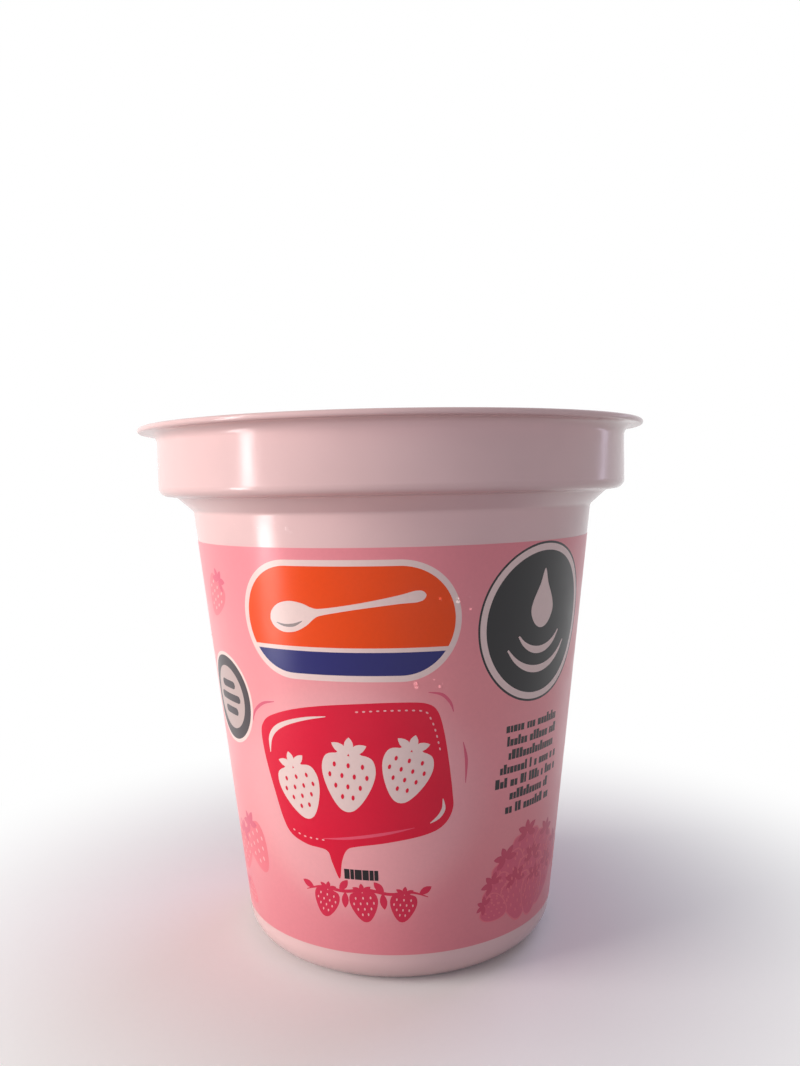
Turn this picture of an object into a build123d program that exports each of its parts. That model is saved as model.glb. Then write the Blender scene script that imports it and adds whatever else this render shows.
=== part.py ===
from build123d import *
import os

# An open single-serve yogurt pot: one thin moulded shell of plastic.
# Millimetres, +Z up. The origin is the centre of the circle that the pot stands on.

# --- Driving dimensions -------------------------------------------------------------

height = 75.7  # from the foot ring to the top of the flange
wall = 0.5  # thickness of the shell everywhere but in the flange

# The flange is the flat lip that a foil lid is sealed to.
flange_diameter = 75.0
flange_width = 2.7  # how far it stands out from the collar
flange_thickness = 0.8
flange_root_radius = 1.45  # the soft hollow under the flange
flange_edge_share = 0.48  # rounding of its edge, as a share of its thickness
mouth_edge_radius = 0.25  # the softened inner edge of the mouth

# The collar is the straight band under the flange, which pots in a stack rest on.
collar_height = 9.7  # from its lower edge to the top of the flange
collar_corner_radius = 1.4
ledge_width = 2.6  # the nearly flat step under the collar
ledge_drop = 0.35  # how much that step falls towards the body

# The shoulder slopes in from the ledge to the body.
shoulder_width = 2.3
shoulder_drop = 2.05
ledge_bend_radius = 0.7
neck_bend_radius = 0.9

# The body is a plain cone that narrows towards the foot.
base_radius = 22.7  # where the cone would meet the table
base_corner_radius = 4.1

# The floor is raised inside a narrow foot ring, so that the pot doesn't rock.
recess_radius = 16.6  # inner edge of the foot ring
recess_height = 1.0
recess_slope = 1.0  # horizontal run of the step between ring and raised floor
recess_foot_bend = 1.1
recess_floor_bend = 0.8

# --- Sizes that follow --------------------------------------------------------------

flange_radius = flange_diameter / 2
flange_underside = height - flange_thickness
collar_radius = flange_radius - flange_width
collar_foot = height - collar_height
ledge_radius = collar_radius - ledge_width
ledge_level = collar_foot - ledge_drop
neck_radius = ledge_radius - shoulder_width
neck_level = ledge_level - shoulder_drop

# The outside of the shell from the middle of the floor up to the mouth, as corner
# points with the bend radius at each corner between the first point and the last.
floor_middle = (0, recess_height)
mouth = (collar_radius, height)
corners = [
    ((recess_radius - recess_slope, recess_height), recess_floor_bend),
    ((recess_radius, 0), recess_foot_bend),
    ((base_radius, 0), base_corner_radius),
    ((neck_radius, neck_level), neck_bend_radius),
    ((ledge_radius, ledge_level), ledge_bend_radius),
    ((collar_radius, collar_foot), collar_corner_radius),
]

# --- The pot ------------------------------------------------------------------------

with BuildPart() as pot:
    with BuildSketch(Plane.XZ) as section:
        # The shell is the outside line, thickened inwards by one wall.
        with BuildLine() as outside:
            FilletPolyline(
                floor_middle,
                *[point for point, bend in corners],
                mouth,
                radius=[bend for point, bend in corners],
            )
            offset(amount=wall, side=Side.LEFT)
        make_face()

        # The flange is a thicker strip that starts at the inner face of the collar.
        with Locations((collar_radius - wall, flange_underside)):
            Rectangle(
                flange_width + wall,
                flange_thickness,
                align=(Align.MIN, Align.MIN),
            )

        # Soft root below the flange, rounded outer edge, eased inner edge.
        root = section.vertices().sort_by_distance((collar_radius, flange_underside))[0]
        fillet(root, flange_root_radius)
        edge = section.vertices().group_by(Axis.X)[-1]
        fillet(edge, flange_thickness * flange_edge_share)
        lip = section.vertices().sort_by_distance((collar_radius - wall, height))[0]
        fillet(lip, mouth_edge_radius)
    revolve(axis=Axis.Z)

pot.part.label = "pot"

os.makedirs("parts", exist_ok=True)
export_step(pot.part, "parts/pot.step")

print("neck radius %.2f at %.2f above the foot" % (neck_radius, neck_level))
print("volume %.0f cubic millimetres" % pot.part.volume)
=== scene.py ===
# %% [markdown]
# # A yogurt pot: one moulded shell and the print round it
#
# The real thing is a single-serve pot: half a millimetre of pale polypropylene,
# injection moulded, with a printed film fused into the wall of its body. This lesson
# builds its looks around an imported CAD model, and that model fixes every size.
#
# The shell is a shape that follows a rule, a profile turned about an axis, and so
# Geometry Nodes turn it. The print is drawn flat, in millimetres, as a printer would
# draw it, cut into one inlay for each ink, and then rolled onto the cone.

# %% Load the imported model
import math

import bpy
from mathutils import Matrix, Quaternion, Vector
from mathutils.geometry import delaunay_2d_cdt


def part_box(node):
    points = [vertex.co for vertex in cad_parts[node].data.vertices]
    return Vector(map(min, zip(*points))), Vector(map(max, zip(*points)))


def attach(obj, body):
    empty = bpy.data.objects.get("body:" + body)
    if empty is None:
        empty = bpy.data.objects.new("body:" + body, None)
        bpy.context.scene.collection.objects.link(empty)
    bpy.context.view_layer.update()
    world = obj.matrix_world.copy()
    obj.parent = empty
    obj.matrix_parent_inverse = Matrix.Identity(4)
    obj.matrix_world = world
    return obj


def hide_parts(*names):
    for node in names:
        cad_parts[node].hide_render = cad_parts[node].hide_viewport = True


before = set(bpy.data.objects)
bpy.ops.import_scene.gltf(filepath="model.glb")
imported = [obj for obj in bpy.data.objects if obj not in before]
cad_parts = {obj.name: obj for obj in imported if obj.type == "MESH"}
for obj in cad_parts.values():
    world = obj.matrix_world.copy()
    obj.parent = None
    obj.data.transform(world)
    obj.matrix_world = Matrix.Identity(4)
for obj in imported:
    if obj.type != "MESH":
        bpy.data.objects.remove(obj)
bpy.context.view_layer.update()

MM = 0.001
pot_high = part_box("pot")[1]
height = pot_high.z / MM
flange_radius = pot_high.x / MM
print("the pot is %.1f mm high and %.1f mm across" % (height, 2 * flange_radius))

# %% [markdown]
# ## Two helpers for colours and nodes
#
# Colours are written as sRGB hex values, the way a paint chart gives them, while
# Blender's shaders reckon in linear light, so one function converts them. Node trees
# are long to write out, and so one function adds a node with its settings and links.
# It serves shader trees and geometry trees alike, because both kinds of node have
# named sockets, of which some are shut by the node's own settings.

# %% Colour and node helpers
def linear(code):
    """The linear colour of an sRGB hex code such as "#e8d8d3"."""
    shares = [int(code[i:i + 2], 16) / 255 for i in (1, 3, 5)]
    bent = [s / 12.92 if s <= 0.04045 else ((s + 0.055) / 1.055) ** 2.4 for s in shares]
    return (*bent, 1.0)


def plug(tree, node, inputs):
    """Fills a node's open inputs: a dict by their names, a tuple in their order.

    Each takes a constant, a socket, or a node, which stands for its first open output.
    A list gives several to one input.
    """
    opened = [socket for socket in node.inputs if socket.enabled]
    if isinstance(inputs, dict):
        inputs = [(next(s for s in opened if s.name == name), value)
                  for name, value in inputs.items()]
    else:
        inputs = list(zip(opened, inputs))
    for socket, given in inputs:
        for value in given if isinstance(given, list) else [given]:
            if isinstance(value, bpy.types.Node):
                value = next(output for output in value.outputs if output.enabled)
            if isinstance(value, bpy.types.NodeSocket):
                tree.links.new(value, socket)
            else:
                socket.default_value = value


def add(tree, kind, inputs=(), **settings):
    """Adds a node, first with its settings, which open its sockets, and then its inputs."""
    made = tree.nodes.new(kind)
    for name, value in settings.items():
        setattr(made, name, value)
    plug(tree, made, inputs)
    return made


print("mid grey in linear light:", [round(c, 3) for c in linear("#808080")])

# %% [markdown]
# ## Two helpers for objects
#
# Whatever is made has to be linked to the scene before it shows. And a modifier is
# only a promise: the finished shape has to be taken off the evaluated object. The
# Convert operator does that too, but it depends on what is selected, and a plain
# function doesn't.

# %% Object helpers
def put_in_scene(name, data):
    """An object that shows a mesh, a lamp or a camera."""
    made = bpy.data.objects.new(name, data)
    bpy.context.collection.objects.link(made)
    return made


def finished_mesh(piece):
    """A plain mesh of what an object's modifiers make."""
    graph = bpy.context.evaluated_depsgraph_get()
    return bpy.data.meshes.new_from_object(piece.evaluated_get(graph), depsgraph=graph)


# %% [markdown]
# ## Materials
#
# The shell is polypropylene, injection moulded against polished steel. It gives the
# eye a pale, warm tint with a soft gloss, and a very faint orange peel that makes long
# highlights waver. The surface is clean and unworn, so its life comes from uneven
# gloss and from that shallow relief. A displaced mesh would need millions of faces to
# hold it, and so two bumps in a row give it: slow waves of the thin wall, and the peel
# on top.

# %% Surface relief that plastic and film share
PEEL_WIDTH = 1.8  # mm from one swelling of the orange peel to the next
PEEL_DEPTH = 0.0012  # mm
WAVE_WIDTH = 16.0  # mm, the slow unevenness of a thin wall that cooled freely
WAVE_DEPTH = 0.03  # mm
GLOSS_PATCH = 5.0  # mm, the width of patches that shine a little more or less
POLYPROPYLENE_IOR = 1.49


def moulded_relief(tree, where):
    """A normal for a thin moulded wall: slow waves, and orange peel on top of them."""
    slow, fine = (add(tree, "ShaderNodeTexNoise", {
        "Vector": where,
        "Scale": 1 / (width * MM),
        "Detail": 0.0,
    }) for width in (WAVE_WIDTH, PEEL_WIDTH))
    waves = add(tree, "ShaderNodeBump", {"Height": slow, "Distance": WAVE_DEPTH * MM})
    return add(tree, "ShaderNodeBump", {
        "Height": fine,
        "Distance": PEEL_DEPTH * MM,
        "Normal": waves,
    })


def uneven(tree, where, width, low, high):
    """A value that drifts between low and high over width millimetres."""
    lumps = add(tree, "ShaderNodeTexNoise", {"Vector": where, "Scale": 1 / (width * MM)})
    # Noise seldom strays from 0.3 to 0.7, and so that range is spread over low to high.
    return add(tree, "ShaderNodeMapRange", (lumps, 0.3, 0.7, low, high))


def surface(name):
    """A new material: its tree, its Principled shader and its Object coordinates."""
    material = bpy.data.materials.new(name)
    material.use_nodes = True
    tree = material.node_tree
    where = add(tree, "ShaderNodeTexCoord").outputs["Object"]
    return material, tree, tree.nodes["Principled BSDF"], where


print("orange peel: %.1f mm wide and %.4f mm deep" % (PEEL_WIDTH, PEEL_DEPTH))

# %% Moulded polypropylene
PLASTIC = "#ebc9c8"
PIGMENT_CLOUD = 9.0  # mm, how broad the faint clouds in the pigment are


def moulded_polypropylene():
    """Polypropylene with a little white pigment, moulded: milky, warm, softly glossy."""
    material, tree, shader, where = surface("moulded_polypropylene")
    cloudy = uneven(tree, where, PIGMENT_CLOUD, 0.975, 1.02)
    plug(tree, shader, {
        "Base Color": add(tree, "ShaderNodeVectorMath", (linear(PLASTIC)[:3], cloudy),
                          operation="SCALE"),
        "Roughness": uneven(tree, where, GLOSS_PATCH, 0.15, 0.21),
        "IOR": POLYPROPYLENE_IOR,
        "Normal": moulded_relief(tree, where),
    })
    return material


plastic = moulded_polypropylene()
print("material:", plastic.name)

# %% [markdown]
# ## Inks under the film
#
# The print is on the back of a clear polypropylene film that is fused to the wall. So
# every ink has the same gloss and the same orange peel as its neighbours, and only the
# colour changes. One function finishes them all. The film is a touch duller than the
# bare shell. The mottle is what an offset press leaves in a flat tint, drawn half a
# millimetre wide so that it can show at all.

# %% Flat inks
INKS = {
    "white": "#f2dad5",
    "orange": "#f24d0b",
    "navy": "#232269",
    "red": "#e2123a",
    "light_red": "#ef5b76",
    "rose": "#ef7d89",
    "deep_rose": "#e2667f",
    "rose_line": "#d3526d",
    "blush": "#f7bcbf",
    "script_red": "#da2e50",
    "dark": "#1b191d",
    "badge": "#40363b",
    "stone": "#c4b0ad",
    "grey": "#968987",
}


MOTTLE_WIDTH = 0.5  # mm


def under_film(tree, shader, where, ink):
    """Finishes an ink: the press's fine mottle in it, and the clear film over it."""
    mottle = uneven(tree, where, MOTTLE_WIDTH, 0.985, 1.012)
    plug(tree, shader, {
        "Base Color": add(tree, "ShaderNodeVectorMath", (ink, mottle), operation="SCALE"),
        "Roughness": uneven(tree, where, GLOSS_PATCH, 0.28, 0.36),
        "IOR": POLYPROPYLENE_IOR,
        "Specular IOR Level": 0.38,  # 0.5 is the bare plastic's own
        "Normal": moulded_relief(tree, where),
    })


def printed_ink(name, colour):
    """One flat ink."""
    material, tree, shader, where = surface("printed_ink_" + name)
    under_film(tree, shader, where, linear(colour)[:3])
    return material


inks = {name: printed_ink(name, colour) for name, colour in INKS.items()}
print("flat inks:", ", ".join(sorted(inks)))

# %% [markdown]
# ## The ground
#
# The film's pink is not flat. It is full at the top edge, pale behind the speech bubble
# and full again near the foot, and a soft halo stands round the bubble. A painted map
# could hold this, but a colour ramp over the height, and the distance from the halo's
# middle, give it with no map and stay smooth at any size.

# %% The ground's vignette
# Each step is (height in mm, colour).
GROUND_STEPS = [
    (4.5, "#e88c96"),
    (11.0, "#ed939c"),
    (19.0, "#f49da3"),
    (31.0, "#f8a2a9"),
    (41.0, "#f59ea4"),
    (52.0, "#f0969f"),
    (59.5, "#ef939d"),
]


def height_ramp(tree, where):
    """The ground's colour for a height."""
    low, high = GROUND_STEPS[0][0], GROUND_STEPS[-1][0]
    level = add(tree, "ShaderNodeMapRange", {
        "Value": add(tree, "ShaderNodeSeparateXYZ", (where,)).outputs["Z"],
        "From Min": low * MM,
        "From Max": high * MM,
    })
    ramp = add(tree, "ShaderNodeValToRGB", (level,))
    stops = ramp.color_ramp.elements
    while len(stops) < len(GROUND_STEPS):
        stops.new(0.5)
    for stop, (z, colour) in zip(stops, GROUND_STEPS):
        stop.position = (z - low) / (high - low)
        stop.color = linear(colour)
    return ramp


print("the vignette has %d steps" % len(GROUND_STEPS))

# %% The ground and its halo
FRONTS = (-13.4, 166.6)  # degrees: the design stands on both faces of the pot
BUBBLE_LEVEL = 29.5  # mm, the middle of the speech bubble
HALO = "#fbc4c7"
HALO_LEVEL = BUBBLE_LEVEL - 3.0
HALO_SIZE = (16.5, 16.0)  # mm, half its width and half its height
HALO_EDGE = (0.75, 1.15)  # shares of that size, between which it fades out
HALO_SHARE = 0.45  # of the halo's colour in its middle


def printed_ground():
    """The vignette and a soft halo, read off the place so that they need no map."""
    material, tree, shader, where = surface("printed_ground")
    # Turned to face the front and divided by the halo's size, so that its edge is at 1.
    # The depth is divided by a whole metre: it drops out, and one halo serves two fronts.
    seen = add(tree, "ShaderNodeMapping", {
        "Vector": where,
        "Location": (0.0, 0.0, HALO_LEVEL * MM),
        "Rotation": (0.0, 0.0, math.radians(FRONTS[0])),
        "Scale": (HALO_SIZE[0] * MM, 1.0, HALO_SIZE[1] * MM),
    }, vector_type="TEXTURE")
    away = add(tree, "ShaderNodeVectorMath", (seen,), operation="LENGTH")
    halo = add(tree, "ShaderNodeMapRange", (away, *HALO_EDGE, HALO_SHARE, 0.0),
               interpolation_type="SMOOTHSTEP")
    under_film(tree, shader, where, add(tree, "ShaderNodeMix", (
        halo,
        height_ramp(tree, where),
        linear(HALO),
    ), data_type="RGBA"))
    return material


inks["ground"] = printed_ground()
print("the halo is %.0f mm wide" % (2 * HALO_SIZE[0]))

# %% [markdown]
# ## Running a geometry tree
#
# A geometry tree is a recipe, and its inputs are the sizes a maker would ask for. The
# modifier holds a value for each input under the socket's identifier, not its name.
# Once the tree has run, the result is turned into a plain mesh, because an export
# keeps meshes and drops live instances.

# %% Making a geometry tree
SOCKETS = {
    float: "NodeSocketFloat",
    int: "NodeSocketInt",
    bpy.types.Material: "NodeSocketMaterial",
}


def geometry_tree(name, sizes):
    """A geometry tree with one input for each size. Returns it and its inputs' sockets."""
    tree = bpy.data.node_groups.new(name, "GeometryNodeTree")
    face = tree.interface
    face.new_socket("Geometry", in_out="OUTPUT", socket_type="NodeSocketGeometry")
    face.new_socket("Geometry", in_out="INPUT", socket_type="NodeSocketGeometry")
    for label, value in sizes.items():
        socket = face.new_socket(label, in_out="INPUT", socket_type=SOCKETS[type(value)])
        socket.default_value = value
    return tree, tree.nodes.new("NodeGroupInput").outputs


def end_tree(tree, geometry, material=None):
    """Closes a tree: instances become real, and the material goes on."""
    done = add(tree, "GeometryNodeRealizeInstances", (geometry,))
    if material:
        done = add(tree, "GeometryNodeSetMaterial", {"Geometry": done, "Material": material})
    add(tree, "NodeGroupOutput", (done,))


print("geometry trees take inputs of type", ", ".join(SOCKETS.values()))

# %% Running a tree on a mesh
def run_tree(name, mesh, tree, sizes):
    """Runs a tree on a mesh and returns the result as a plain object at the origin."""
    start = put_in_scene(name + "_start", mesh)
    modifier = start.modifiers.new("tree", "NODES")
    modifier.node_group = tree
    for item in tree.interface.items_tree:
        if item.in_out == "INPUT" and item.name in sizes:
            modifier[item.identifier] = sizes[item.name]
    made = finished_mesh(start)
    bpy.data.objects.remove(start)
    # The start mesh had no material, and may have left an empty slot in front.
    while made.materials and made.materials[0] is None:
        made.materials.pop(index=0)
    made.name = name
    return put_in_scene(name, made)


def drawn_mesh(name, points, edges=(), faces=()):
    """A mesh from points in millimetres."""
    mesh = bpy.data.meshes.new(name)
    flat = [(p[0] * MM, p[1] * MM, 0.0) for p in points]
    mesh.from_pydata(flat, edges, faces)
    return mesh


def keep_values(mesh, name, values):
    """Keeps a number for each point of a mesh under a name, for a tree to read."""
    mesh.attributes.new(name, "FLOAT", "POINT").data.foreach_set("value", values)


print("one unit of a drawing is %g m" % MM)

# %% [markdown]
# ## The shell
#
# A moulded pot is a thin wall of even thickness: a floor raised inside a foot ring, a
# plain cone, a sloped shoulder, a collar that stacked pots rest on, and the flat
# flange that a lid is sealed to. Subdivision modelling could make it, but its soft
# corners would only come near the right radii. A turned profile hits them exactly.
#
# The outside is a chain of corner points, each with its bend radius. The inside is
# the same chain moved in by one wall, where a bend that faces in loses one wall of
# its radius and a bend that faces out gains it. The Fillet Curve node rounds each
# corner, and Curve to Mesh turns the profile about the axis.

# %% Sizes of the shell, in millimetres
wall = 0.5
flange_width = 2.7
flange_thickness = 0.8
flange_root_radius = 1.45
flange_edge_radius = 0.384
mouth_edge_radius = 0.25
collar_height = 9.7
collar_corner_radius = 1.4
ledge_width = 2.6
ledge_drop = 0.35
shoulder_width = 2.3
shoulder_drop = 2.05
ledge_bend_radius = 0.7
neck_bend_radius = 0.9
base_radius = 22.7
base_corner_radius = 4.1
recess_radius = 16.6
recess_height = 1.0
recess_slope = 1.0
recess_foot_bend = 1.1
recess_floor_bend = 0.8
gate_radius = 1.5
gate_drop = 0.22
gate_bend = 0.08

collar_radius = flange_radius - flange_width
collar_foot = height - collar_height
ledge_radius = collar_radius - ledge_width
ledge_level = collar_foot - ledge_drop
neck_radius = ledge_radius - shoulder_width
neck_level = ledge_level - shoulder_drop
taper = (neck_radius - base_radius) / neck_level
print("the body widens by %.4f mm for each mm of height" % taper)

# %% The profile: inside, flange, outside
foot = [
    ((recess_radius - recess_slope, recess_height), recess_floor_bend),
    ((recess_radius, 0), recess_foot_bend),
    ((base_radius, 0), base_corner_radius),
]
walls = [
    ((neck_radius, neck_level), neck_bend_radius),
    ((ledge_radius, ledge_level), ledge_bend_radius),
    ((collar_radius, collar_foot), collar_corner_radius),
    ((collar_radius, height), 0),
]
outside = [((0, recess_height), 0), *foot, *walls]
# Moulding leaves a low round button where the plastic came in, under the floor only.
gate = [
    ((0, recess_height - gate_drop), 0),
    ((gate_radius, recess_height - gate_drop), gate_bend),
    ((gate_radius, recess_height), gate_bend),
]


def inset(chain, depth):
    """The chain moved to its left by depth, with the bend radii that keep a wall even."""
    spots = [Vector(point) for point, bend in chain]
    moved = []
    for i, (point, bend) in enumerate(chain):
        before = (spots[i] - spots[max(i - 1, 0)]).normalized() if i else None
        after = (spots[i + 1] - spots[i]).normalized() if i + 1 < len(spots) else None
        before, after = before or after, after or before
        sides = [Vector((-way.y, way.x)) for way in (before, after)]
        mitre = (sides[0] + sides[1]) / (1 + sides[0].dot(sides[1]))
        turn = before.x * after.y - before.y * after.x
        bend = bend - math.copysign(depth, turn) if bend else 0
        moved.append((tuple(spots[i] + mitre * depth), bend))
    return moved


underside = height - flange_thickness
profile = [
    *inset(outside, wall)[:-1],
    ((collar_radius - wall, height), mouth_edge_radius),
    ((flange_radius, height), flange_edge_radius),
    ((flange_radius, underside), flange_edge_radius),
    ((collar_radius, underside), flange_root_radius),
    *reversed([*gate, *foot, *walls[:-1]]),
]
print("the profile has %d corners" % len(profile))

# %% The tree that turns the profile
SPINDLE = 1.0  # mm, the small circle that the profile is carried round
WELD = 0.0001  # mm, points nearer than this are one


def turning_tree():
    """Rounds a chain's corners, carries it round the axis and closes the two poles."""
    tree, sizes = geometry_tree("turned_shell", {
        "Spindle radius": SPINDLE * MM,
        "Steps round": 256,
        "Steps in a bend": 9,
        "Plastic": plastic,
    })
    rounded = add(tree, "GeometryNodeFilletCurve", {
        "Curve": add(tree, "GeometryNodeMeshToCurve", (sizes["Geometry"],)),
        "Count": sizes["Steps in a bend"],
        "Radius": add(tree, "GeometryNodeInputNamedAttribute", ("bend",), data_type="FLOAT"),
    }, mode="POLY")
    # Curve to Mesh hangs a profile's Y axis down, so the chain is turned over first.
    inwards = add(tree, "ShaderNodeMath", (0.0, sizes["Spindle radius"]), operation="SUBTRACT")
    turned_over = add(tree, "GeometryNodeTransform", {
        "Geometry": rounded,
        "Translation": add(tree, "ShaderNodeCombineXYZ", (inwards,)),
        "Scale": (1.0, -1.0, 1.0),
    })
    circle = add(tree, "GeometryNodeCurvePrimitiveCircle", {
        "Resolution": sizes["Steps round"],
        "Radius": sizes["Spindle radius"],
    }, mode="RADIUS")
    swept = add(tree, "GeometryNodeCurveToMesh", {"Curve": circle, "Profile Curve": turned_over})
    closed = add(tree, "GeometryNodeMergeByDistance", {
        "Geometry": swept,
        "Distance": WELD * MM,
    })
    end_tree(tree, add(tree, "GeometryNodeSetShadeSmooth", (closed,)), sizes["Plastic"])
    return tree


turning = turning_tree()
print("nodes in the turning tree:", len(turning.nodes))

# %% The shell
def with_even_normals(piece):
    """Lets wide faces set the normals, so that a flat stays flat up to its rounding."""
    modifier = piece.modifiers.new("even", "WEIGHTED_NORMAL")
    modifier.weight = 100  # the most it takes, where the widest face alone decides
    made = finished_mesh(piece)
    piece.modifiers.clear()
    piece.data = made
    return piece


def volume_of(mesh):
    """The volume that a closed mesh holds, in cubic millimetres. Inside out is negative."""
    mesh.calc_loop_triangles()
    spots = [v.co / MM for v in mesh.vertices]
    corners = [[spots[i] for i in t.vertices] for t in mesh.loop_triangles]
    return sum(a.dot(b.cross(c)) for a, b, c in corners) / 6


chain = drawn_mesh(
    "profile",
    [point for point, bend in profile],
    [(i, i + 1) for i in range(len(profile) - 1)],
)
keep_values(chain, "bend", [bend * MM for point, bend in profile])
shell = with_even_normals(run_tree("shell", chain, turning, {"Plastic": plastic}))
print("shell: %d faces, %.0f cubic mm" % (len(shell.data.polygons), volume_of(shell.data)))
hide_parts("pot")

# %% [markdown]
# ## Rolling a flat print onto the cone
#
# The film is printed flat. Its X axis runs round the pot, in millimetres along a
# circle of a middle radius, and its Y axis is the height. One tree rolls a flat mesh
# on: X becomes an angle, and the radius grows with the height. Then it gives the
# sheet a thickness, and turns the outer faces' normals exactly square to the cone,
# so that neighbouring inks share one unbroken highlight.
#
# A Curve or Shrinkwrap modifier could bend a sheet too, but both only come near to a
# cone. This rule is exact, and other trees below use it again as a group.

# %% Places on the cone
PRINT_RADIUS = 26.0  # mm, where a millimetre of print is a millimetre on the pot
CLEARANCE = 0.012  # mm, keeps the film's back off the wall
FILM = 0.03  # mm, the film's thickness

cone_sizes = {
    "Print radius": PRINT_RADIUS * MM,
    "Base radius": base_radius * MM,
    "Taper": taper,
}
rolling_sizes = {
    **cone_sizes,
    "Lift": CLEARANCE * MM,
    "Thickness": FILM * MM,
}


def on_cone(tree, sizes, x, z, radius_below):
    """Where a spot of print lies on the cone, and the direction that is square to it there."""
    angle = add(tree, "ShaderNodeMath", (x, sizes["Print radius"]), operation="DIVIDE")
    radius = add(tree, "ShaderNodeMath", (z, sizes["Taper"], radius_below),
                 operation="MULTIPLY_ADD")
    # Both are drawn in the plane that faces the viewer, and then turned by the angle.
    y = add(tree, "ShaderNodeMath", (radius, -1.0), operation="MULTIPLY")
    lean = add(tree, "ShaderNodeMath", (sizes["Taper"], -1.0), operation="MULTIPLY")
    outwards = add(tree, "ShaderNodeVectorMath", (
        add(tree, "ShaderNodeCombineXYZ", (0.0, -1.0, lean)),
    ), operation="NORMALIZE")
    place, square = (add(tree, "ShaderNodeVectorRotate", {
        "Vector": facing,
        "Angle": angle,
    }, rotation_type="Z_AXIS") for facing in (
        add(tree, "ShaderNodeCombineXYZ", (0.0, y, z)),
        outwards,
    ))
    return place, square


print("the film is %.3f mm thick, %.3f mm off the wall" % (FILM, CLEARANCE))

# %% The rolling tree
def rolling_tree():
    """Rolls a flat sheet onto the cone and gives it a thickness and true normals."""
    tree, sizes = geometry_tree("rolled_on", rolling_sizes)
    flat_place = add(tree, "GeometryNodeInputPosition")
    spot = add(tree, "ShaderNodeSeparateXYZ", (flat_place,)).outputs
    lifted = add(tree, "ShaderNodeMath", (sizes["Base radius"], sizes["Lift"]), operation="ADD")
    place, square = on_cone(tree, sizes, spot["X"], spot["Y"], lifted)
    # Points keep their direction under a name, because it is read off the flat place.
    kept = add(tree, "GeometryNodeStoreNamedAttribute", {
        "Geometry": sizes["Geometry"],
        "Name": "square",
        "Value": square,
    }, data_type="FLOAT_VECTOR", domain="POINT")
    back = add(tree, "GeometryNodeSetPosition", {"Geometry": kept, "Position": place})
    square = add(tree, "GeometryNodeInputNamedAttribute", ("square",), data_type="FLOAT_VECTOR")
    # Extruded by nothing and then moved, so that neighbours keep one common edge.
    front = add(tree, "GeometryNodeExtrudeMesh", {
        "Mesh": back,
        "Offset Scale": 0.0,
        "Individual": False,
    }, mode="FACES").outputs
    raised = add(tree, "GeometryNodeSetPosition", {
        "Geometry": front["Mesh"],
        "Selection": front["Top"],
        "Offset": add(tree, "ShaderNodeVectorMath", (square, sizes["Thickness"]),
                      operation="SCALE"),
    })
    turned_back = add(tree, "GeometryNodeFlipFaces", (back,))
    closed = add(tree, "GeometryNodeMergeByDistance", {
        "Geometry": add(tree, "GeometryNodeJoinGeometry", {"Geometry": [turned_back, raised]}),
        "Distance": WELD * MM,
    })
    flat_normal = add(tree, "GeometryNodeFieldOnDomain", (
        add(tree, "GeometryNodeInputNormal"),
    ), data_type="FLOAT_VECTOR", domain="FACE")
    trued = add(tree, "GeometryNodeSetMeshNormal", {
        "Mesh": closed,
        "Custom Normal": add(tree, "GeometryNodeSwitch", (front["Top"], flat_normal, square),
                             input_type="VECTOR"),
    }, mode="FREE", domain="CORNER")
    end_tree(tree, add(tree, "GeometryNodeRemoveAttribute", {
        "Geometry": trued,
        "Name": "square",
    }))
    return tree


rolled_on = rolling_tree()
print("nodes in the rolling tree:", len(rolled_on.nodes))

# %% Ending a tree with the roll
def end_rolled(tree, sizes, flat):
    """Ends a tree that draws something flat: rolls it on and gives it its ink."""
    rolled = add(tree, "GeometryNodeGroup", {
        "Geometry": add(tree, "GeometryNodeRealizeInstances", (flat,)),
        **{label: sizes[label] for label in rolling_sizes},
    }, node_tree=rolled_on)
    end_tree(tree, rolled, sizes["Ink"])


print("sizes that go on to the rolling tree:", ", ".join(rolling_sizes))

# %% [markdown]
# ## Drawing helpers
#
# A printer's artwork is closed outlines, one over the other. Each helper below makes
# an outline from a few sizes or points. Round stretches are curves through the points
# (Catmull-Rom), and so a shape needs only the points that tell it apart.

# %% Smooth lines
STEP = 0.4  # mm between points on a drawn line
BRUSH_TIP = 0.02  # mm, half the least width of a stroke


def through(points, closed=False):
    """A smooth line through points of any dimension, with a point about every step."""
    spots = [Vector(p) for p in points]
    count = len(spots)
    spans = count if closed else count - 1
    line = []
    for i in range(spans):
        a, b, c, d = (spots[k % count] if closed else spots[min(max(k, 0), count - 1)]
                      for k in range(i - 1, i + 3))
        pieces = max(2, round((c - b).length / STEP))
        for t in (k / pieces for k in range(pieces)):
            line.append(0.5 * (2 * b + t * (c - a) + t * t * (2 * a - 5 * b + 4 * c - d)
                               + t ** 3 * (3 * b - a - 3 * c + d)))
    return line if closed else [*line, spots[-1]]


def stroke(points):
    """A brush stroke. Each point is (x, y, half the width there)."""
    line = through(points)
    sides = []
    for i, spot in enumerate(line):
        way = (line[min(i + 1, len(line) - 1)] - line[max(i - 1, 0)]).to_2d().normalized()
        across = Vector((-way.y, way.x)) * max(spot.z, BRUSH_TIP)
        sides.append((spot.to_2d() + across, spot.to_2d() - across))
    return [left for left, right in sides] + [right for left, right in reversed(sides)]


print("a drawn line has a point every %.1f mm" % STEP)

# %% Discs, bars and leaves
def disc(radius):
    """A round outline."""
    steps = max(8, round(2 * math.pi * radius / STEP))
    turns = [2 * math.pi * i / steps for i in range(steps)]
    return [Vector((math.cos(t), math.sin(t))) * radius for t in turns]


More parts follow.
